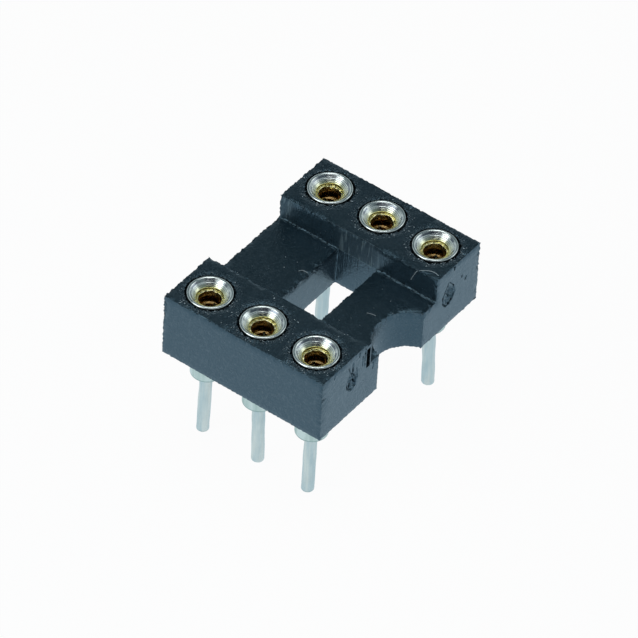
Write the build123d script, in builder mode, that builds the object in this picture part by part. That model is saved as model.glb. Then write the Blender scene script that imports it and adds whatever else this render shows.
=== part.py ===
from build123d import *
import math
import os

# DIP socket with turned contacts: six of them in two rows of three, pressed from above into a
# moulded insulator. Each contact is a turned brass sleeve that holds a spring clip with four
# fingers, which grip one lead of the device. The origin is the centre of the pin pattern on the
# board's surface, where the contacts stand on their shoulders. X crosses the rows, Y runs along
# them towards the notched end, and Z points away from the board.

# Pin pattern
pitch = 2.54
contacts_per_row = 3

# Insulator: two rails joined by a lower web, with a window and a polarising notch in the web
body_width = 10.16
side_margin = 1.27
end_margin = 1.27
rail_width = 2.83
body_height = 3.0
standoff = 1.2
channel_depth = 1.15
window_width = 1.85
window_draft = 1.2
notch_radius = 1.5
notch_overhang = 0.455

# Contact sleeve, turned from brass bar
clip_bore_diameter = 1.04
clip_bore_length = 2.9
barrel_wall = 0.12
head_overhang = 0.27
head_thickness = 0.45
head_proud = 0.03
funnel_rim = 0.14
funnel_angle = 90
press_ring_rise = 0.08
press_ring_length = 0.9
tail_diameter = 0.52
tail_length = 3.2
tail_break = 0.1

# Contact clip, formed from beryllium copper strip
strip_thickness = 0.1
clip_drop = 0.15
collar_length = 0.5
finger_count = 4
finger_slit = 0.12
finger_drop = 1.1
grip_diameter = 0.36
grip_length = 0.25

# Fits, each a radial clearance
recess_fit = 0.065
press_fit = 0.015
clip_fit = 0.012

# Sizes across the body
body_length = (contacts_per_row - 1) * pitch + 2 * end_margin
row_spacing = body_width - 2 * side_margin
channel_width = body_width - 2 * rail_width

# Radii of the sleeve and of its cavity
clip_bore_radius = clip_bore_diameter / 2
barrel_radius = clip_bore_radius + barrel_wall
press_ring_radius = barrel_radius + press_ring_rise
head_radius = barrel_radius + head_overhang
funnel_radius = head_radius - funnel_rim
tail_radius = tail_diameter / 2
cavity_radius = press_ring_radius + press_fit
recess_radius = head_radius + recess_fit

# Radii of the clip's inner side, which leans in evenly from the collar to the tips
collar_radius = clip_bore_radius - clip_fit - strip_thickness
grip_radius = grip_diameter / 2
finger_lean = (collar_radius - grip_radius) / finger_drop
tip_radius = grip_radius - grip_length * finger_lean

# Heights above the board
body_top = standoff + body_height
web_top = body_top - channel_depth
head_top = body_top + head_proud
head_underside = head_top - head_thickness
press_ring_end = head_underside - press_ring_length
funnel_foot = head_top - (funnel_radius - clip_bore_radius) / math.tan(math.radians(funnel_angle / 2))
clip_top = funnel_foot - clip_drop
collar_end = clip_top - collar_length
grip_height = collar_end - finger_drop
clip_end = grip_height - grip_length

# Contacts are numbered as on any dual in-line part: from the notch down the left row, then up
# the right one.
steps_from_notch = [(contacts_per_row - 1) / 2 - step for step in range(contacts_per_row)]
left_row = [(-row_spacing / 2, pitch * step) for step in steps_from_notch]
right_row = [(row_spacing / 2, -pitch * step) for step in steps_from_notch]
contact_places = left_row + right_row


# The insulator is one moulding of black glass-filled polyester. Its section is a U of two rails
# over a thinner web, and it runs through from end to end.
with BuildPart() as insulator:
    with BuildSketch(Plane.XZ):
        with Locations((0, body_top)):
            Rectangle(body_width, body_height, align=(Align.CENTER, Align.MAX))
            Rectangle(
                channel_width, channel_depth, align=(Align.CENTER, Align.MAX), mode=Mode.SUBTRACT
            )
    extrude(amount=body_length / 2, both=True)

    # The window reaches from rail to rail. Its two walls lean apart downwards, so that the
    # moulding leaves the core that shapes them.
    window_foot = window_width + 2 * (web_top - standoff) * math.tan(math.radians(window_draft))
    with BuildSketch(Plane.YZ):
        with BuildLine():
            Polyline(
                (-window_width / 2, web_top),
                (window_width / 2, web_top),
                (window_foot / 2, standoff),
                (-window_foot / 2, standoff),
                close=True,
            )
        make_face()
    extrude(amount=channel_width / 2, both=True, mode=Mode.SUBTRACT)

    # The polarising notch is an arc whose centre lies outside the end of the body.
    with BuildSketch(Plane.XY.offset(web_top)):
        with Locations((0, body_length / 2 + notch_overhang)):
            Circle(notch_radius)
    extrude(amount=standoff - web_top, mode=Mode.SUBTRACT)

    # Every contact has a stepped cavity: a recess for its head over a bore for its press ring.
    with Locations(Plane.XY.offset(body_top)):
        with Locations(*contact_places):
            CounterBoreHole(
                radius=cavity_radius,
                counter_bore_radius=recess_radius,
                counter_bore_depth=body_top - head_underside,
                depth=body_height,
            )


# The sleeve is turned in one piece: solder tail, shoulder, barrel, the ring that is pressed into
# the insulator, and head. It is modelled on the Z axis, and each contact place gets a copy.
with BuildPart() as sleeve:
    with BuildSketch(Plane.XZ):
        with BuildLine():
            Polyline(
                (0, -tail_length),
                (tail_radius, -tail_length),
                (tail_radius, 0),
                (barrel_radius, 0),
                (barrel_radius, press_ring_end),
                (press_ring_radius, press_ring_end),
                (press_ring_radius, head_underside),
                (head_radius, head_underside),
                (head_radius, head_top),
                (0, head_top),
                close=True,
            )
        make_face()
    revolve(axis=Axis.Z)

    # The bore is blind, and its mouth is countersunk into the funnel that guides a lead in.
    with Locations((0, 0, head_top)):
        CounterSinkHole(
            radius=clip_bore_radius,
            counter_sink_radius=funnel_radius,
            counter_sink_angle=funnel_angle,
            depth=head_top - funnel_foot + clip_bore_length,
        )

    # The lathe breaks the corner at the tip of the tail.
    chamfer(sleeve.edges().sort_by(Axis.Z)[0], tail_break)


# The clip is a short collar, set a little below the funnel, with four fingers that lean in
# evenly. It is rolled from strip, so its wall is the strip's thickness down to the grip.
with BuildPart() as clip:
    with BuildSketch(Plane.XZ):
        with BuildLine():
            Polyline(
                (collar_radius, clip_top),
                (collar_radius, collar_end),
                (tip_radius, clip_end),
            )
            offset(amount=strip_thickness, side=Side.LEFT, kind=Kind.INTERSECTION)
        make_face()
    revolve(axis=Axis.Z)

    # The tips are coined to the grip's radius, so that they hold a lead along a straight land.
    with Locations((0, 0, clip_top)):
        Hole(radius=grip_radius)

    # Straight slits part the fingers, from under the collar to beyond the tips.
    with BuildSketch(Plane.XY.offset(collar_end)):
        with PolarLocations(0, finger_count):
            Rectangle(clip_bore_radius, finger_slit, align=(Align.MIN, Align.CENTER))
    extrude(amount=clip_end - strip_thickness - collar_end, mode=Mode.SUBTRACT)


os.makedirs("parts", exist_ok=True)
insulator.part.label = "insulator"
export_step(insulator.part, "parts/insulator.step")

for number, (x, y) in enumerate(contact_places, start=1):
    placed_sleeve = sleeve.part.moved(Location((x, y, 0)))
    placed_sleeve.label = f"contact_sleeve_{number}"
    export_step(placed_sleeve, f"parts/{placed_sleeve.label}.step")

    placed_clip = clip.part.moved(Location((x, y, 0)))
    placed_clip.label = f"contact_clip_{number}"
    export_step(placed_clip, f"parts/{placed_clip.label}.step")
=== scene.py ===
import math
import random

import bpy
from mathutils import Matrix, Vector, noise


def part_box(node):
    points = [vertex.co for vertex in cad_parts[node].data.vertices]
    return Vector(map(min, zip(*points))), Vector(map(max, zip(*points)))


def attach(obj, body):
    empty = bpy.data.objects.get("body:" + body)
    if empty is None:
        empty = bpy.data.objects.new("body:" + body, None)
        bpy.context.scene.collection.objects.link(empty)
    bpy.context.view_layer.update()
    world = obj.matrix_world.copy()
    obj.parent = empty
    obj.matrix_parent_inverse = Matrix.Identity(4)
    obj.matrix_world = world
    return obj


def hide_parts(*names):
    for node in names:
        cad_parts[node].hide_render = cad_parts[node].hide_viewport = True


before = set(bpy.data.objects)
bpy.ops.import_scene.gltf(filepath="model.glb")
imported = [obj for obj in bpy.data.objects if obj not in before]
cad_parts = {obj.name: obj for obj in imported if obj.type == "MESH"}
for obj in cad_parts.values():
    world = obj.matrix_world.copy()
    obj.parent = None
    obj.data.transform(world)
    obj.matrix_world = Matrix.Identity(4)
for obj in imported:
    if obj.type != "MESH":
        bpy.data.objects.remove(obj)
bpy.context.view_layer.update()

# The socket stands on its tails on a plain white table. The camera looks down on its notched
# corner from far away, so that the perspective is slight.
mm = 0.001
tail_length = 3.2 * mm
camera_place = Matrix.Translation((131.28 * mm, 90.47 * mm, 156.17 * mm))
camera_heading = Matrix.Rotation(math.radians(124.59), 4, "Z")
camera_tilt = Matrix.Rotation(math.radians(90 - 44.13), 4, "X")
camera_roll = Matrix.Rotation(math.radians(3.50), 4, "Z")
bpy.ops.object.select_all(action="DESELECT")
bpy.ops.object.camera_add()
camera = bpy.context.object
camera.matrix_world = camera_place @ camera_heading @ camera_tilt @ camera_roll
camera.data.lens = 324.0
camera.data.sensor_width = 36
camera.data.clip_start = 10 * mm
camera.data.clip_end = 5
bpy.context.scene.camera = camera
bpy.context.scene.view_settings.view_transform = "Standard"


def shader(tree, kind, **inputs):
    """A node of this kind. Each name is a setting or an input of it, and i3 means its input 3.
    A value is set there, and a socket is linked to it."""
    node = tree.nodes.new(kind)
    for name, value in inputs.items():
        if hasattr(node, name):
            setattr(node, name, value)
            continue
        key = int(name[1:]) if name[0] == "i" and name[1:].isdigit() else name.replace("_", " ")
        if isinstance(value, bpy.types.NodeSocket):
            tree.links.new(value, node.inputs[key])
        else:
            node.inputs[key].default_value = value
    return node


def both(tree, first, second, operation="MULTIPLY"):
    """The product of two masks, or what another operation makes of them."""
    return shader(tree, "ShaderNodeMath", operation=operation, i0=first, i1=second).outputs[0]


def ramp(tree, value, start, end, low=0.0, high=1.0):
    """A value that runs from low at the start to high at the end."""
    return shader(
        tree, "ShaderNodeMapRange", Value=value, i1=start, i2=end, i3=low, i4=high
    ).outputs[0]


def blend(tree, share, first, second):
    """A colour between two others; each may be a fixed colour or a socket."""
    return shader(
        tree, "ShaderNodeMix", data_type="RGBA", i0=share, i6=first, i7=second
    ).outputs[2]


def new_material(name):
    """A material with an empty tree of nodes."""
    material = bpy.data.materials.new(name)
    material.use_nodes = True
    material.node_tree.nodes.clear()
    return material


bpy.ops.mesh.primitive_circle_add(
    vertices=96, radius=0.6, fill_type="NGON", location=(0, 0, -tail_length - 0.01 * mm)
)
table = bpy.context.object
table.name = "table_top"
paper = new_material("white_paper")
tree = paper.node_tree
paper_grain = shader(tree, "ShaderNodeTexNoise", Scale=900.0, Detail=2.0).outputs["Fac"]
paper_tone = blend(tree, paper_grain, (0.9, 0.9, 0.9, 1), (0.94, 0.94, 0.94, 1))
lit = shader(tree, "ShaderNodeBsdfDiffuse", Color=paper_tone)

# To the camera and in mirrors the paper is almost evenly bright, with only a trace of the
# socket's shadow. In mirrors it is cool as well.
rays = shader(tree, "ShaderNodeLightPath").outputs
seen = both(tree, rays["Is Camera Ray"], rays["Is Glossy Ray"], "MAXIMUM")
seen = both(tree, seen, rays["Is Transmission Ray"], "MAXIMUM")
glow_tone = blend(tree, rays["Is Glossy Ray"], (1, 1, 1, 1), (0.7, 0.88, 1, 1))
glow = shader(tree, "ShaderNodeEmission", Color=glow_tone, Strength=1.0)
glow_share = both(tree, seen, 0.96)
sheet = shader(
    tree, "ShaderNodeMixShader", i0=glow_share, i1=lit.outputs[0], i2=glow.outputs[0]
)
shader(tree, "ShaderNodeOutputMaterial", Surface=sheet.outputs[0])
table.data.materials.append(paper)

# The studio is a pale room with a dim ceiling. The part round the camera is dark, and the
# funnels mirror it. One large soft lamp stands to the left of the camera, a weaker one behind
# the socket, and one hangs over it.
world = bpy.context.scene.world or bpy.data.worlds.new("studio")
bpy.context.scene.world = world
world.use_nodes = True
tree = world.node_tree
tree.nodes.clear()
direction = shader(tree, "ShaderNodeTexCoord").outputs["Generated"]
upwards = shader(tree, "ShaderNodeSeparateXYZ", Vector=direction).outputs["Z"]
walls = shader(tree, "ShaderNodeValToRGB", Fac=upwards)
wall_tones = [(0.25, (0.5, 0.585, 0.62, 1)), (0.6, (0.1, 0.14, 0.16, 1))]
for stop, (position, wall_tone) in zip(walls.color_ramp.elements, wall_tones):
    stop.position = position
    stop.color = wall_tone
towards = shader(
    tree, "ShaderNodeVectorMath", operation="DOT_PRODUCT", i0=direction, i1=(0.59, 0.4, 0.7)
)
dark_part = ramp(tree, towards.outputs["Value"], 0.8, 0.93)
room = blend(tree, dark_part, walls.outputs["Color"], (0.015, 0.02, 0.035, 1))
sky = shader(tree, "ShaderNodeBackground", Color=room, Strength=1.0)
shader(tree, "ShaderNodeOutputWorld", Surface=sky.outputs[0])


def soft_lamp(name, place, size, watts):
    """A square soft lamp that faces the socket, with its place and size in millimetres."""
    bpy.ops.object.light_add(type="AREA", location=[value * mm for value in place])
    lamp = bpy.context.object
    lamp.name = name
    lamp.data.size = size * mm
    lamp.data.energy = watts
    lamp.data.color = (0.9, 0.97, 1.0)
    lamp.rotation_euler = lamp.location.to_track_quat("Z", "Y").to_euler()
    lamp.visible_camera = False


soft_lamp("key_lamp", (72, -34, 60), 60, 0.026)
soft_lamp("back_lamp", (-70, 60, 55), 50, 0.008)
soft_lamp("top_lamp", (0, 0, 80), 45, 0.014)


# The insulator is moulded in one piece of black glass-filled polyester: two rails over a thinner
# web with a window. It is built as the web, with its outer strips drawn up into rails, and the
# mould's cores then leave the notch and the stepped cavity of each contact.
body_low, body_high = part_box("insulator")
body_size = body_high - body_low
web_top = 3.05 * mm
channel_side = 2.25 * mm
window_side = 0.925 * mm
window_spread = 1.042
notch_radius = 1.5 * mm
notch_overhang = 0.455 * mm
cavity_radius = 0.735 * mm
recess_radius = 0.972 * mm
recess_floor = 3.78 * mm
contact_axes = []
for number in range(1, 7):
    low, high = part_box(f"contact_sleeve_{number}")
    contact_axes.append(((low.x + high.x) / 2, (low.y + high.y) / 2))

bpy.ops.object.select_all(action="DESELECT")
bpy.ops.mesh.primitive_cube_add(size=1, location=(0, 0, (body_low.z + web_top) / 2))
insulator = bpy.context.object
insulator.name = "insulator_moulding"
insulator.scale = (body_size.x, body_size.y, web_top - body_low.z)
bpy.ops.object.transform_apply(location=True, scale=True)
bpy.context.tool_settings.mesh_select_mode = (False, False, True)


def cut_across(places, direction):
    """Cuts the whole piece, in edit mode, by planes square to a direction."""
    for place in places:
        bpy.ops.mesh.select_all(action="SELECT")
        bpy.ops.mesh.bisect(plane_co=[place * part for part in direction], plane_no=direction)


def select_faces(piece, wanted):
    """Leaves the piece in edit mode with only the wanted faces selected."""
    bpy.ops.object.mode_set(mode="EDIT")
    bpy.ops.mesh.select_mode(type="FACE")
    bpy.ops.mesh.select_all(action="DESELECT")
    bpy.ops.object.mode_set(mode="OBJECT")
    for face in piece.data.polygons:
        face.select = wanted(face.center, face.normal)
    bpy.ops.object.mode_set(mode="EDIT")


bpy.ops.object.mode_set(mode="EDIT")
cut_across((-channel_side, channel_side), (1, 0, 0))
cut_across((-window_side, window_side), (0, 1, 0))
select_faces(insulator, lambda centre, normal: normal.z > 0.9 and abs(centre.x) > channel_side)
rail_rise = (0, 0, body_high.z - web_top)
bpy.ops.mesh.extrude_region_move(TRANSFORM_OT_translate={"value": rail_rise})


def by_window(place, slack=0.0):
    """Whether a place lies within the window, seen from above."""
    return abs(place.x) < channel_side + slack and abs(place.y) < window_side + slack


# The window is opened between the middle faces of the web, and its foot is spread a little.
select_faces(insulator, lambda centre, normal: abs(normal.z) > 0.9 and by_window(centre))
bpy.ops.mesh.bridge_edge_loops()
bpy.ops.object.mode_set(mode="OBJECT")
for vertex in insulator.data.vertices:
    if vertex.co.z < web_top / 2 and by_window(vertex.co, 0.005 * mm):
        vertex.co.y *= window_spread


def pick(*pieces):
    """Selects only these pieces and makes the first one active."""
    bpy.ops.object.select_all(action="DESELECT")
    for piece in pieces:
        piece.select_set(True)
    bpy.context.view_layer.objects.active = pieces[0]


def merge(piece, cores, operation):
    """Takes cores out of the piece, or unites it with them, in one go."""
    pick(*cores)
    if len(cores) > 1:
        bpy.ops.object.join()
    core = bpy.context.object
    pick(piece)
    tool = piece.modifiers.new("core", "BOOLEAN")
    tool.operation = operation
    tool.solver = "EXACT"
    tool.use_self = len(cores) > 1
    tool.object = core
    bpy.ops.object.modifier_apply(modifier=tool.name)
    bpy.data.objects.remove(core)


def pin(x, y, foot, top, radius, vertices):
    """An upright round core, with its sizes in metres."""
    bpy.ops.mesh.primitive_cylinder_add(
        vertices=vertices, radius=radius, depth=top - foot, location=(x, y, (foot + top) / 2)
    )
    return bpy.context.object


def block(low, high):
    """A square block between two corners given in millimetres."""
    centre = [(a + b) / 2 * mm for a, b in zip(low, high)]
    bpy.ops.mesh.primitive_cube_add(size=1, location=centre)
    piece = bpy.context.object
    piece.scale = [(b - a) * mm for a, b in zip(low, high)]
    bpy.ops.object.transform_apply(location=True, scale=True)
    return piece


above = body_high.z + 0.5 * mm
below = body_low.z - 0.5 * mm
notch_core = pin(0, body_high.y + notch_overhang, below, above, notch_radius, 160)
merge(insulator, [notch_core], "DIFFERENCE")
cavity_cores = [pin(x, y, below, above, cavity_radius, 48) for x, y in contact_axes]
merge(insulator, cavity_cores, "DIFFERENCE")
recess_cores = [pin(x, y, recess_floor, above, recess_radius, 96) for x, y in contact_axes]
merge(insulator, recess_cores, "DIFFERENCE")

rounding = insulator.modifiers.new("rounding", "BEVEL")
rounding.width = 0.03 * mm
rounding.segments = 3
rounding.limit_method = "ANGLE"
rounding.angle_limit = math.radians(40)
rounding.use_clamp_overlap = False
pick(insulator)
bpy.ops.object.modifier_apply(modifier=rounding.name)

# The gate was broken off beside the notch. It left a small wedge in the corner between the near
# rail and the web, torn open by a narrow slot.
wedge = block((1.96, 3.3, 2.9), (2.31, 3.8, 4.08))
for vertex in wedge.data.vertices:
    if vertex.co.y < 3.5 * mm and vertex.co.z > web_top:
        vertex.co.z = 3.1 * mm
bpy.ops.object.mode_set(mode="EDIT")
bpy.ops.mesh.select_mode(type="EDGE")
bpy.ops.mesh.select_all(action="SELECT")
bpy.ops.mesh.bevel(offset=0.02 * mm, segments=2, affect="EDGES")
bpy.ops.object.mode_set(mode="OBJECT")
merge(insulator, [wedge], "UNION")
merge(insulator, [block((2.03, 3.45, 2.95), (2.25, 4.0, 3.92))], "DIFFERENCE")

# A real moulding's edges are nibbled, so the body is cut into a fine grid, and its rounded edges
# are eaten away unevenly, the lower ones less than the upper ones.
grid = 0.15 * mm
sharp = math.radians(14)
bpy.ops.object.mode_set(mode="EDIT")
bpy.ops.mesh.select_mode(type="VERT")
for direction, first, last in (((1, 0, 0), -33, 33), ((0, 1, 0), -25, 25), ((0, 0, 1), 9, 27)):
    cut_across([step * grid for step in range(first, last + 1)], direction)
bpy.ops.mesh.select_all(action="SELECT")
bpy.ops.mesh.remove_doubles(threshold=0.0002 * mm)
bpy.ops.mesh.select_all(action="DESELECT")
bpy.ops.mesh.select_mode(type="EDGE")
bpy.ops.mesh.edges_select_sharp(sharpness=sharp)
bpy.ops.mesh.subdivide(number_cuts=2)
bpy.ops.mesh.select_mode(type="EDGE")
bpy.ops.mesh.select_all(action="DESELECT")
bpy.ops.mesh.edges_select_sharp(sharpness=sharp)
bpy.ops.mesh.select_mode(type="VERT")
bpy.ops.object.mode_set(mode="OBJECT")

# The bores of the contacts and the remains of the gate keep their clean edges.
bore_clearance = 0.8 * mm
nibbled = insulator.vertex_groups.new(name="nibbled")
for vertex in insulator.data.vertices:
    x, y, z = vertex.co
    by_gate = 1.9 * mm < x < 2.35 * mm and y > 3.4 * mm and z > 2.85 * mm
    from_contact = min(math.hypot(x - cx, y - cy) for cx, cy in contact_axes)
    if vertex.select and not by_gate and from_contact > bore_clearance:
        weight = 0.45 if z < web_top - 0.1 * mm else 1.0
        nibbled.add([vertex.index], weight, "REPLACE")
bite = bpy.data.textures.new("bite", "CLOUDS")
bite.noise_scale = 0.11 * mm
bite.noise_depth = 2
nibbling = insulator.modifiers.new("nibbling", "DISPLACE")
nibbling.texture = bite
nibbling.vertex_group = "nibbled"
nibbling.strength = 0.15 * mm
nibbling.mid_level = 0.7
bpy.ops.object.modifier_apply(modifier=nibbling.name)

# Both ejector marks in the notched end are tear-shaped rings round a rough middle with a few
# pits, and short tears run down beside the gate. Each stroke has its two ends as x and z, its
# width and its depth.
strokes = [
    (3.41, 3.82, 3.28, 3.44, 0.06, 0.03),
    (3.14, 3.84, 3.13, 3.2, 0.1, 0.1),
    (2.89, 3.47, 2.82, 2.93, 0.06, 0.04),
    (3.28, 3.44, 3.5, 3.06, 0.07, 0.05),
    (3.5, 3.06, 3.46, 2.74, 0.08, 0.06),
    (3.46, 2.74, 3.2, 2.52, 0.09, 0.07),
    (3.2, 2.52, 2.96, 2.6, 0.08, 0.06),
    (2.96, 2.6, 2.9, 2.95, 0.07, 0.06),
    (2.9, 2.95, 3.08, 3.3, 0.06, 0.05),
    (3.23, 2.94, 3.24, 2.86, 0.15, 0.13),
    (3.05, 2.98, 3.02, 2.84, 0.13, 0.12),
    (3.28, 2.73, 3.24, 2.7, 0.15, 0.12),
    (3.08, 2.76, 3.06, 2.68, 0.12, 0.1),
    (-3.05, 3.56, -2.86, 3.26, 0.05, 0.05),
    (-2.86, 3.26, -2.7, 2.94, 0.07, 0.06),
    (-2.7, 2.94, -2.73, 2.6, 0.08, 0.07),
    (-2.73, 2.6, -2.93, 2.34, 0.08, 0.06),
    (-2.93, 2.34, -3.3, 2.46, 0.07, 0.05),
    (-3.3, 2.46, -3.5, 2.8, 0.07, 0.06),
    (-3.5, 2.8, -3.36, 3.2, 0.06, 0.05),
    (-3.36, 3.2, -3.12, 3.5, 0.05, 0.04),
    (-3.04, 3.36, -3.0, 3.06, 0.05, 0.05),
    (-3.2, 3.2, -3.16, 2.98, 0.05, 0.04),
    (-2.94, 2.84, -2.92, 2.72, 0.1, 0.08),
    (-3.16, 2.64, -3.16, 2.56, 0.12, 0.1),
    (-3.36, 2.66, -3.34, 2.56, 0.1, 0.08),
    (-3.12, 2.4, -3.14, 2.36, 0.11, 0.09),
    (-4.16, 2.93, -4.22, 3.02, 0.09, 0.07),
    (-3.9, 3.3, -3.92, 3.22, 0.07, 0.04),
    (-3.42, 4.16, -3.36, 3.98, 0.06, 0.05),
    (2.37, 4.08, 2.36, 3.28, 0.08, 0.09),
    (2.52, 3.76, 2.52, 3.3, 0.06, 0.06),
    (2.7, 4.14, 2.74, 3.92, 0.07, 0.04),
    (1.78, 3.0, 1.8, 2.6, 0.05, 0.03),
    (4.3, 4.12, 4.33, 3.95, 0.06, 0.04),
]
stroke_pressure = 1.6
rough_spots = [(3.18, 2.95, 0.32, 0.5), (-3.12, 2.82, 0.36, 0.5)]
grit_depth = 0.1


def dent(x, z):
    """How deep the notched end is dented at x and z; all of it is in millimetres."""
    deepest = 0
    broken = min(max(0.9 + 1.3 * noise.noise((x * 5, 3, z * 4)), 0.2), 1.2)
    for x1, z1, x2, z2, width, depth in strokes:
        length = math.hypot(x2 - x1, z2 - z1)
        along = ((x - x1) * (x2 - x1) + (z - z1) * (z2 - z1)) / length**2
        along = min(max(along, 0), 1)
        away = math.hypot(x - x1 - along * (x2 - x1), z - z1 - along * (z2 - z1)) / (width / 2)
        deepest = max(deepest, stroke_pressure * depth * broken * max(0, 1 - away**2))
    for cx, cz, half_width, half_height in rough_spots:
        away = ((x - cx) / half_width) ** 2 + ((z - cz) / half_height) ** 2
        grit = 0.5 + noise.noise((x * 11, 0, z * 9))
        deepest = max(deepest, grit_depth * grit * max(0, 1 - away**2))
    return deepest


def dented(centre, normal):
    """Whether a face of the notched end lies where the strokes are."""
    if normal.y < 0.9 or centre.y < body_high.y - 0.01 * mm:
        return False
    x, z = centre.x / mm, centre.z / mm
    margin = 0.15
    return any(
        min(x1, x2) - margin < x < max(x1, x2) + margin
        and min(z1, z2) - margin < z < max(z1, z2) + margin
        for x1, z1, x2, z2, width, depth in strokes
    )


select_faces(insulator, dented)
bpy.ops.mesh.subdivide(number_cuts=5)
bpy.ops.object.mode_set(mode="OBJECT")
for vertex in insulator.data.vertices:
    if vertex.co.y > body_high.y - 0.002 * mm:
        vertex.co.y -= dent(vertex.co.x / mm, vertex.co.z / mm) * mm
    vertex.co.x = min(max(vertex.co.x, body_low.x), body_high.x)
    vertex.co.y = min(max(vertex.co.y, body_low.y), body_high.y)
    vertex.co.z = min(max(vertex.co.z, body_low.z), body_high.z)

# Pressing the contacts in leaves crumbs of plastic round the heads, mostly on the open side.
# Those that would lie over an edge are left out.
chance = random.Random(11)
crumbs_per_head = 75
edge_gap = 0.04 * mm
crumb_pieces = [insulator]
for x, y in contact_axes:
    for _ in range(crumbs_per_head):
        angle = math.radians(chance.gauss(20, 80))
        reach = (1.0 + abs(chance.gauss(0, 0.16))) * mm
        crumb_x = x + reach * math.cos(angle)
        crumb_y = y + reach * math.sin(angle)
        if not channel_side + edge_gap <= abs(crumb_x) <= body_high.x - edge_gap:
            continue
        if abs(crumb_y) > body_high.y - edge_gap:
            continue
        size = (0.009 + 0.018 * chance.random() ** 2) * mm
        bpy.ops.mesh.primitive_ico_sphere_add(
            subdivisions=1, radius=size, location=(crumb_x, crumb_y, body_high.z)
        )
        crumb = bpy.context.object
        crumb.scale = (chance.uniform(0.8, 2.2), chance.uniform(0.6, 1.2), 1)
        crumb.rotation_euler = (0, 0, angle + chance.gauss(0, 0.5))
        crumb_pieces.append(crumb)

# A few larger crumbs lie on their own, here with their places and sizes in millimetres.
for x, y, z, size in (
    (2.6, 2.68, 4.2, 0.028),
    (2.37, 2.8, 4.2, 0.02),
    (2.31, 2.9, 4.2, 0.02),
    (3.55, 3.58, 4.2, 0.026),
    (4.9, 1.1, 4.2, 0.026),
    (4.85, -1.2, 4.2, 0.026),
    (-0.09, -1.9, 3.05, 0.03),
    (-0.58, -2.2, 3.05, 0.026),
    (-0.64, -1.68, 3.05, 0.022),
    (1.3, -3.1, 3.05, 0.024),
    (-1.2, 2.4, 3.05, 0.02),
    (0.9, 1.5, 3.05, 0.02),
):
    bpy.ops.mesh.primitive_ico_sphere_add(
        subdivisions=1, radius=size * mm, location=(x * mm, y * mm, z * mm)
    )
    crumb_pieces.append(bpy.context.object)


def fibre(thickness, *points):
    """A thin shaving of plastic along five points; all of it is in millimetres."""
    bpy.ops.curve.primitive_nurbs_path_add()
    thread = bpy.context.object
    thread.location = (0, 0, 0)
    for knot, point in zip(thread.data.splines[0].points, points):
        knot.co = (*[value * mm for value in point], 1)
    thread.data.bevel_depth = thickness / 2 * mm
    thread.data.bevel_resolution = 1
    thread.data.resolution_u = 6
    bpy.ops.object.convert(target="MESH")
    return bpy.context.object


# One long shaving climbs the far rail's wall and curls over its top, and two short ones lie on
# the web.
crumb_pieces += [
    fibre(
        0.03,
        (-2.24, 2.58, 3.55),
        (-2.235, 2.62, 3.7),
        (-2.23, 2.7, 3.9),
        (-2.23, 2.78, 4.1),
        (-2.25, 2.85, 4.18),
    ),
    fibre(
        0.03,
        (-2.25, 2.85, 4.18),
        (-2.3, 3.0, 4.214),
        (-2.5, 3.1, 4.214),
        (-2.62, 3.35, 4.214),
        (-2.5, 3.66, 4.212),
    ),
    fibre(
        0.025,
        (-0.09, 2.08, 3.06),
        (-0.12, 2.16, 3.07),
        (-0.14, 2.25, 3.065),
        (-0.2, 2.34, 3.06),
        (-0.17, 2.45, 3.06),
    ),
    fibre(
        0.03,
        (-0.26, -1.34, 3.06),
        (-0.36, -1.3, 3.065),
        (-0.44, -1.22, 3.06),
        (-0.42, -1.1, 3.06),
        (-0.4, -0.99, 3.06),
    ),
]
pick(*crumb_pieces)
bpy.ops.object.join()
bpy.ops.object.shade_smooth_by_angle(angle=math.radians(40))
weighting = insulator.modifiers.new("weighting", "WEIGHTED_NORMAL")
weighting.keep_sharp = True
bpy.ops.object.modifier_apply(modifier=weighting.name)


def new_group(name, inputs, outputs):
    """An empty node group, with each of its sockets given as a name and a kind."""
    group = bpy.data.node_groups.new(name, "ShaderNodeTree")
    for in_out, sockets in (("INPUT", inputs), ("OUTPUT", outputs)):
        for socket, kind in sockets:
            group.interface.new_socket(socket, in_out=in_out, socket_type="NodeSocket" + kind)
    return group


def absolute(tree, value):
    """The value without its sign."""
    return shader(tree, "ShaderNodeMath", operation="ABSOLUTE", i0=value).outputs[0]


def band(tree, value, start, full, full_end, end):
    """A mask that rises from the start until it is full, and falls again towards the end."""
    return both(tree, ramp(tree, value, start, full), ramp(tree, value, end, full_end))


def bump(tree, height, depth, strength=0.8, **under):
    """The normal of a relief this many millimetres deep; Normal gives the one that it lies on."""
    return shader(
        tree, "ShaderNodeBump", Strength=strength, Distance=depth * mm, Height=height, **under
    ).outputs[0]


# The materials of the plastic, the tin and the gold find their place on the socket in the same
# way: in millimetres, with the height above the board and the radius from the nearest contact's
# axis. Row is how far the rows of contacts lie from the middle.
contact_group = new_group(
    "contact_place",
    [("Row", "Float"), ("Half Pitch", "Float")],
    [("Place", "Vector"), ("Height", "Float"), ("Radius", "Float")],
)
given = shader(contact_group, "NodeGroupInput").outputs
metres = shader(contact_group, "ShaderNodeTexCoord").outputs["Object"]
place = shader(
    contact_group, "ShaderNodeVectorMath", operation="SCALE", i0=metres, Scale=1 / mm
).outputs[0]
parts = shader(contact_group, "ShaderNodeSeparateXYZ", Vector=place).outputs
across = both(contact_group, absolute(contact_group, parts["X"]), given["Row"], "SUBTRACT")
along = shader(
    contact_group,
    "ShaderNodeMath",
    operation="WRAP",
    i0=parts["Y"],
    i1=given["Half Pitch"],
    i2=both(contact_group, given["Half Pitch"], -1.0),
).outputs[0]
flat = shader(contact_group, "ShaderNodeCombineXYZ", X=across, Y=along).outputs[0]
radius = shader(contact_group, "ShaderNodeVectorMath", operation="LENGTH", i0=flat)
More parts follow.
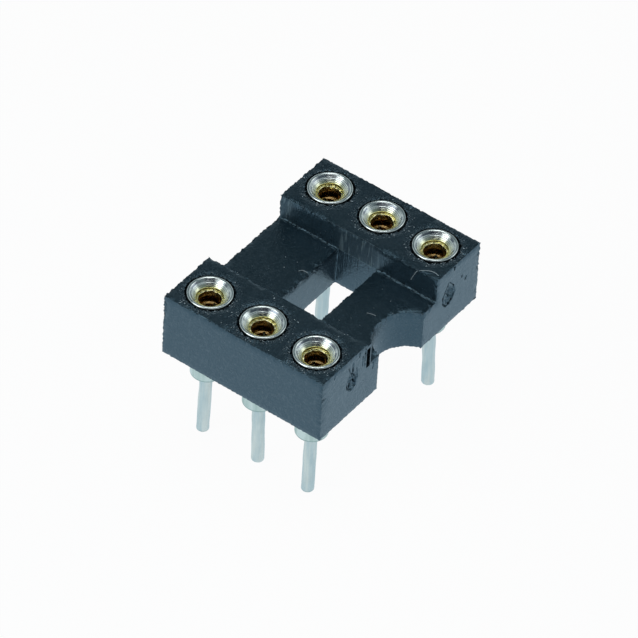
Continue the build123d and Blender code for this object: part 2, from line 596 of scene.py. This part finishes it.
shader(
    contact_group,
    "NodeGroupOutput",
    Place=place,
    Height=parts["Z"],
    Radius=radius.outputs["Value"],
)

# They also share a cloudy pattern, with Scale features to a millimetre, drawn out along an axis
# where Stretch is small.
cloud_group = new_group(
    "cloud_pattern",
    [("Place", "Vector"), ("Scale", "Float"), ("Detail", "Float"), ("Stretch", "Vector")],
    [("Mask", "Float")],
)
given = shader(cloud_group, "NodeGroupInput").outputs
stretched = shader(
    cloud_group, "ShaderNodeMapping", Vector=given["Place"], Scale=given["Stretch"]
).outputs[0]
clouds = shader(
    cloud_group,
    "ShaderNodeTexNoise",
    Vector=stretched,
    Scale=given["Scale"],
    Detail=given["Detail"],
    Roughness=0.6,
)
shader(cloud_group, "NodeGroupOutput", Mask=clouds.outputs["Fac"])


def contact_place(tree):
    """The place, the height and the radius on this socket, for one material."""
    node = shader(tree, "ShaderNodeGroup", node_tree=contact_group, Row=3.81, Half_Pitch=1.27)
    return [node.outputs[name] for name in ("Place", "Height", "Radius")]


def cloudy(tree, place, scale, detail=3.0, stretch=(1, 1, 1)):
    """The cloudy pattern, for one material."""
    return shader(
        tree,
        "ShaderNodeGroup",
        node_tree=cloud_group,
        Place=place,
        Scale=scale,
        Detail=detail,
        Stretch=stretch,
    ).outputs["Mask"]


black = new_material("black_polyester")
tree = black.node_tree
place, height, radius = contact_place(tree)
parts = shader(tree, "ShaderNodeSeparateXYZ", Vector=place).outputs
sideways = absolute(tree, parts["X"])
along = absolute(tree, parts["Y"])
mottle = cloudy(tree, place, 1.6, 4.0)
grain = cloudy(tree, place, 13.0)
colour = blend(tree, mottle, (0.0015, 0.0045, 0.0065, 1), (0.0035, 0.008, 0.011, 1))

# Glass fibres near the skin show as fine paler flecks.
fleck = ramp(tree, cloudy(tree, place, 12.0, 2.0), 0.55, 0.63)
colour = blend(tree, fleck, colour, (0.018, 0.024, 0.027, 1))

# Round each head the plastic is bruised pale, and dust lies on all of it.
bruise = ramp(tree, radius, 1.28, 0.99)
bruise = both(tree, bruise, ramp(tree, cloudy(tree, place, 15.0, 2.0), 0.5, 0.66))
bruise = both(tree, bruise, ramp(tree, height, 4.12, 4.17))
dust_cells = shader(tree, "ShaderNodeTexVoronoi", Vector=place, Scale=2.4)
dust = ramp(tree, dust_cells.outputs["Distance"], 0.075, 0.05, 0.0, 0.5)
pale = both(tree, both(tree, bruise, 0.45), dust, "MAXIMUM")
colour = blend(tree, pale, colour, (0.17, 0.185, 0.19, 1))

# The crumbs and shavings are paler still: whatever stands proud of the rails, of the web and of
# the far rail's wall.
on_rail = ramp(tree, height, 4.202, 4.207)
on_web = both(tree, band(tree, height, 3.054, 3.06, 3.08, 3.09), ramp(tree, sideways, 1.9, 1.88))
by_wall = band(tree, parts["X"], -2.243, -2.238, -2.2, -2.19)
by_wall = both(tree, by_wall, ramp(tree, height, 3.2, 3.25))
loose = both(tree, both(tree, on_rail, on_web, "MAXIMUM"), by_wall, "MAXIMUM")
colour = blend(tree, loose, colour, (0.4, 0.43, 0.44, 1))

# The walls of the channel carry drag marks where the moulding left its core, heaviest above the
# window and towards the plain end. A fine parting line runs along the foot of each wall, painted
# paler as a painted highlight on its small ledge.
on_wall = both(tree, band(tree, sideways, 2.16, 2.2, 2.27, 2.3), ramp(tree, along, 3.8, 3.77))
heavy = both(tree, ramp(tree, along, 1.3, 0.7), ramp(tree, parts["Y"], -2.9, -3.4), "MAXIMUM")
dragged = both(tree, both(tree, on_wall, ramp(tree, height, 3.05, 3.12)), heavy)
drag = cloudy(tree, place, 10.0, 2.0, (1, 1, 0.07))
streak = both(tree, dragged, ramp(tree, drag, 0.56, 0.64, 0.0, 0.9))
colour = blend(tree, streak, colour, (0.11, 0.14, 0.15, 1))
parting_highlight = shader(tree, "ShaderNodeMath", operation="COMPARE", i0=height, i1=3.06, i2=0.025)
parting_highlight = both(tree, both(tree, parting_highlight.outputs[0], on_wall), 0.45)
colour = blend(tree, parting_highlight, colour, (0.1, 0.13, 0.14, 1))

# The outer walls are rougher than the tops and the channel, so more of the glass shows there.
facing = shader(tree, "ShaderNodeTexCoord").outputs["Normal"]
upwards = absolute(tree, shader(tree, "ShaderNodeSeparateXYZ", Vector=facing).outputs["Z"])
outer = both(tree, ramp(tree, upwards, 0.5, 0.2), ramp(tree, on_wall, 0.5, 0.0))
speckle = both(tree, outer, ramp(tree, cloudy(tree, place, 9.0), 0.53, 0.62))
colour = blend(tree, speckle, colour, (0.036, 0.042, 0.045, 1))
scuffed = both(tree, both(tree, dragged, 0.3), both(tree, bruise, 0.4), "MAXIMUM")
roughness = both(tree, ramp(tree, mottle, 0.3, 0.7, 0.18, 0.28), scuffed, "ADD")
lumps = bump(tree, cloudy(tree, place, 4.5), 0.014)
skin = bump(tree, grain, 0.024, Normal=lumps)
skin = bump(tree, both(tree, drag, on_wall), 0.03, Normal=skin)
plastic = shader(
    tree,
    "ShaderNodeBsdfPrincipled",
    Base_Color=colour,
    Roughness=roughness,
    IOR=1.95,
    Specular_Tint=(0.52, 0.81, 1.0, 1),
    Normal=skin,
)
shader(tree, "ShaderNodeOutputMaterial", Surface=plastic.outputs[0])
insulator.data.materials.clear()
insulator.data.materials.append(black)
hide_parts("insulator")
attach(insulator, "root")


# Each contact's sleeve is turned from brass bar and tin plated: a solder tail, a shoulder that
# stands on the board, the barrel, the ring that is pressed into the plastic, and the funnelled
# head. It is drawn ring by ring from the tip of its tail round to the floor of its bore.
def turned(name, stations, segments, open_ring):
    """A piece turned about the Z axis, through stations of (radius, height) in millimetres."""
    radius, height = stations[0]
    bpy.context.tool_settings.mesh_select_mode = (True, False, False)
    bpy.ops.object.select_all(action="DESELECT")
    bpy.ops.mesh.primitive_circle_add(
        vertices=segments,
        radius=radius * mm,
        fill_type="NOTHING" if open_ring else "NGON",
        location=(0, 0, height * mm),
    )
    piece = bpy.context.object
    piece.name = name
    bpy.ops.object.transform_apply(location=True)
    bpy.ops.object.mode_set(mode="EDIT")
    for next_radius, next_height in stations[1:]:
        rise = (0, 0, (next_height - height) * mm)
        bpy.ops.mesh.extrude_region_move(TRANSFORM_OT_translate={"value": rise})
        growth = next_radius / radius
        bpy.ops.transform.resize(
            value=(growth, growth, 1), center_override=(0, 0, next_height * mm)
        )
        radius, height = next_radius, next_height
    bpy.ops.mesh.select_all(action="SELECT")
    bpy.ops.mesh.remove_doubles(threshold=0.0001 * mm)
    bpy.ops.mesh.normals_make_consistent(inside=False)
    bpy.ops.object.mode_set(mode="OBJECT")
    bpy.ops.object.shade_smooth_by_angle(angle=math.radians(38))
    return piece


def arc(centre_radius, centre_height, size, start, end, steps):
    """Stations round a corner; the angles are in degrees, from outwards towards up."""
    turns = [math.radians(start + (end - start) * k / steps) for k in range(steps + 1)]
    return [(centre_radius + size * math.cos(t), centre_height + size * math.sin(t)) for t in turns]


def tool_marks(start, end, count, depth):
    """Stations down a cone with the fine ridges that a lathe tool leaves."""
    marks = []
    steps = count * 4
    for step in range(steps + 1):
        share = step / steps
        ripple = depth * math.sin(math.pi * step / 2) * math.sin(math.pi * share)
        radius = start[0] + (end[0] - start[0]) * share + ripple
        marks.append((radius, start[1] + (end[1] - start[1]) * share))
    return marks


sleeve_stations = (
    arc(0.19, -3.13, 0.07, -90, 0, 5)
    + [(0.26, -3.0 + 0.2 * k) for k in range(14)]
    + arc(0.29, -0.03, 0.03, 180, 90, 3)
    + arc(0.625, 0.04, 0.04, -90, 0, 4)
    + [(0.665, 1.08), (0.64, 1.14), (0.64, 2.84), (0.70, 2.88), (0.72, 2.90), (0.72, 3.77)]
    + arc(0.88, 3.81, 0.03, -90, 0, 3)
    + arc(0.845, 4.165, 0.065, 0, 131, 14)
    + tool_marks((0.795, 4.21), (0.54, 3.995), 5, 0.007)
    + [(0.53, 3.98), (0.52, 3.95), (0.513, 3.89), (0.52, 3.84)]
    + [(0.52, 1.10), (0.50, 1.08), (0.02, 1.08)]
)
master_sleeve = turned("turned_sleeve", sleeve_stations, 96, False)

tin = new_material("tinned_brass")
tree = tin.node_tree
place, height, radius = contact_place(tree)
ring_place = shader(tree, "ShaderNodeCombineXYZ", X=radius, Z=height).outputs[0]
rings = cloudy(tree, ring_place, 14.0, 1.0)
clouds = cloudy(tree, place, 3.2, 4.0)
pits = cloudy(tree, place, 11.0)
strips = ramp(tree, cloudy(tree, place, 2.6, 3.0, (1, 1, 0.1)), 0.4, 0.6)
head_tone = blend(tree, clouds, (0.69, 0.73, 0.70, 1), (0.96, 0.97, 0.92, 1))
shoulder_tone = blend(tree, strips, (0.55, 0.61, 0.54, 1), (0.75, 0.77, 0.70, 1))
tail_tone = blend(tree, strips, (0.59, 0.64, 0.62, 1), (0.79, 0.76, 0.69, 1))
tone = blend(tree, ramp(tree, height, 1.0, 2.0), shoulder_tone, head_tone)
tone = blend(tree, ramp(tree, height, 0.03, 0.0), tone, tail_tone)

# Painted shade darkens the tail just under the shoulder, where the shoulder shades it, and flux
# and dirt have stayed round the tip of the tail. The head is stained in small spots.
shoulder_shade = band(tree, height, -0.2, -0.04, 0.04, 0.09)
tip = ramp(tree, height, -3.1, -3.18)
shade_and_dirt = both(tree, both(tree, shoulder_shade, tip, "MAXIMUM"), 0.7)
tone = blend(tree, shade_and_dirt, tone, (0.26, 0.36, 0.33, 1))
stain = both(tree, ramp(tree, pits, 0.58, 0.7, 0.0, 0.6), ramp(tree, height, 3.0, 3.5))
tone = blend(tree, stain, tone, (0.24, 0.27, 0.26, 1))

# Here and there along the funnel's lathe rings, dark blue-grey arcs are painted on: a painted
# reflection of the dark room.
patches = ramp(tree, cloudy(tree, place, 1.9, 2.0), 0.45, 0.53)
on_funnel = both(tree, ramp(tree, height, 4.0, 4.08), ramp(tree, radius, 0.8, 0.76))
painted_dark_arcs = both(tree, both(tree, ramp(tree, rings, 0.44, 0.56), patches), on_funnel)
tone = blend(tree, both(tree, painted_dark_arcs, 0.8), tone, (0.16, 0.18, 0.24, 1))

# Gilding has rubbed off on the foot of the funnel and the top of the bore.
rubbed = both(tree, ramp(tree, radius, 0.66, 0.54, 0.0, 0.95), ramp(tree, height, 3.6, 3.7))
tone = blend(tree, rubbed, tone, (0.90, 0.87, 0.52, 1))
dull_tail = ramp(tree, height, 2.0, 1.0, 0.0, 0.28)
roughness = both(tree, ramp(tree, clouds, 0.3, 0.7, 0.17, 0.28), dull_tail, "ADD")
lathe_rings = bump(tree, both(tree, rings, ramp(tree, height, 3.0, 3.5)), 0.01)
pitted = both(tree, pits, ramp(tree, height, 2.0, 3.0, 0.25, 1.0))


def metal(tree, tone, roughness, normal):
    """Gives the material a metal surface with this colour, roughness and relief."""
    surface = shader(
        tree,
        "ShaderNodeBsdfPrincipled",
        Base_Color=tone,
        Metallic=1.0,
        Roughness=roughness,
        Normal=normal,
    )
    shader(tree, "ShaderNodeOutputMaterial", Surface=surface.outputs[0])


metal(tree, tone, roughness, bump(tree, pitted, 0.005, 0.5, Normal=lathe_rings))
master_sleeve.data.materials.append(tin)


def copy_at(master, name, centre, turn=0.0):
    """A copy of the master with its own mesh, turned and put on a contact's axis."""
    pick(master)
    bpy.ops.object.duplicate()
    piece = bpy.context.object
    piece.name = name
    piece.rotation_euler = (0, 0, turn)
    piece.location = (*centre, 0)
    bpy.ops.object.transform_apply(location=True, rotation=True)
    return piece


# Handling has bent some of the tails slightly along the row, by this many millimetres at the tip,
# and the tin lies on them in shallow lumps. Two of them are a little short.
tail_bends = {1: 0.16, 2: 0.04, 3: -0.05, 4: -0.09, 5: 0.07, 6: -0.02}
tail_cuts = {1: 0.1, 5: 0.05}
for number, centre in enumerate(contact_axes, start=1):
    sleeve = copy_at(master_sleeve, f"turned_sleeve_{number}", centre)
    for vertex in sleeve.data.vertices:
        if vertex.co.z < 0:
            x, y, z = [value / mm for value in vertex.co]
            lump = 0.09 * noise.noise((x, y, z * 1.6))
            bend = tail_bends[number] * mm * (-vertex.co.z / tail_length) ** 0.8
            vertex.co.x += (vertex.co.x - centre[0]) * lump
            vertex.co.y += (vertex.co.y - centre[1]) * lump + bend
            vertex.co.z *= 1 - tail_cuts.get(number, 0) * mm / tail_length
    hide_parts(f"contact_sleeve_{number}")
    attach(sleeve, "root")
bpy.data.objects.remove(master_sleeve)


# Each clip is rolled from beryllium copper strip and gold plated. Its collar shows at the foot of
# the funnel as a ring with two rounded rims, and below it four fingers lean in to grip one lead.
clip_stations = (
    [(0.228, 1.98), (0.425, 3.17), (0.44, 3.22), (0.47, 3.26)]
    + [(0.498, 3.3), (0.508, 3.35), (0.508, 3.855)]
    + arc(0.494, 3.860, 0.014, 0, 140, 6)
    + arc(0.476, 3.878, 0.012, -50, -130, 4)
    + arc(0.464, 3.858, 0.01, 60, 180, 6)
    + [(0.442, 3.79), (0.415, 3.68), (0.408, 3.6), (0.408, 3.37)]
    + arc(0.378, 3.36, 0.03, 0, -70, 4)
    + arc(0.36, 3.29, 0.035, 80, 170, 5)
    + [(0.183, 2.25), (0.18, 2.22), (0.18, 1.98), (0.228, 1.98)]
)
master_clip = turned("spring_clip", clip_stations, 96, True)
slits = [
    block((-0.6, -0.06, 1.85), (0.6, 0.06, 3.33)),
    block((-0.06, -0.6, 1.85), (0.06, 0.6, 3.33)),
]
merge(master_clip, slits, "DIFFERENCE")

gold = new_material("gilded_spring")
tree = gold.node_tree
place, height, _ = contact_place(tree)
clouds = cloudy(tree, place, 5.0, 4.0)
tone = blend(tree, clouds, (0.9, 0.76, 0.36, 1), (1.0, 0.94, 0.62, 1))
# Down the hole the gold turns dark copper brown: partly bare beryllium copper, partly painted shade
# deep in the hole.
tone = blend(tree, ramp(tree, height, 3.76, 3.6), tone, (0.42, 0.27, 0.11, 1))
roughness = ramp(tree, clouds, 0.3, 0.7, 0.14, 0.28)
metal(tree, tone, roughness, bump(tree, cloudy(tree, place, 16.0, 2.0), 0.004, 0.5))
master_clip.data.materials.clear()
master_clip.data.materials.append(gold)

# No two rims are quite alike: forming and use have dented each collar a little.
dents = bpy.data.textures.new("dents", "CLOUDS")
dents.noise_scale = 0.2 * mm
dents.noise_depth = 1
for number, centre in enumerate(contact_axes, start=1):
    clip = copy_at(master_clip, f"spring_clip_{number}", centre, 0.4 * number)
    rim = clip.vertex_groups.new(name="rim")
    on_rim = [vertex.index for vertex in clip.data.vertices if vertex.co.z > 3.7 * mm]
    rim.add(on_rim, 1.0, "REPLACE")
    denting = clip.modifiers.new("denting", "DISPLACE")
    denting.texture = dents
    denting.vertex_group = "rim"
    denting.direction = "Z"
    denting.strength = 0.12 * mm
    denting.mid_level = 0.6
    bpy.ops.object.modifier_apply(modifier=denting.name)
    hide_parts(f"contact_clip_{number}")
    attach(clip, "root")
bpy.data.objects.remove(master_clip)
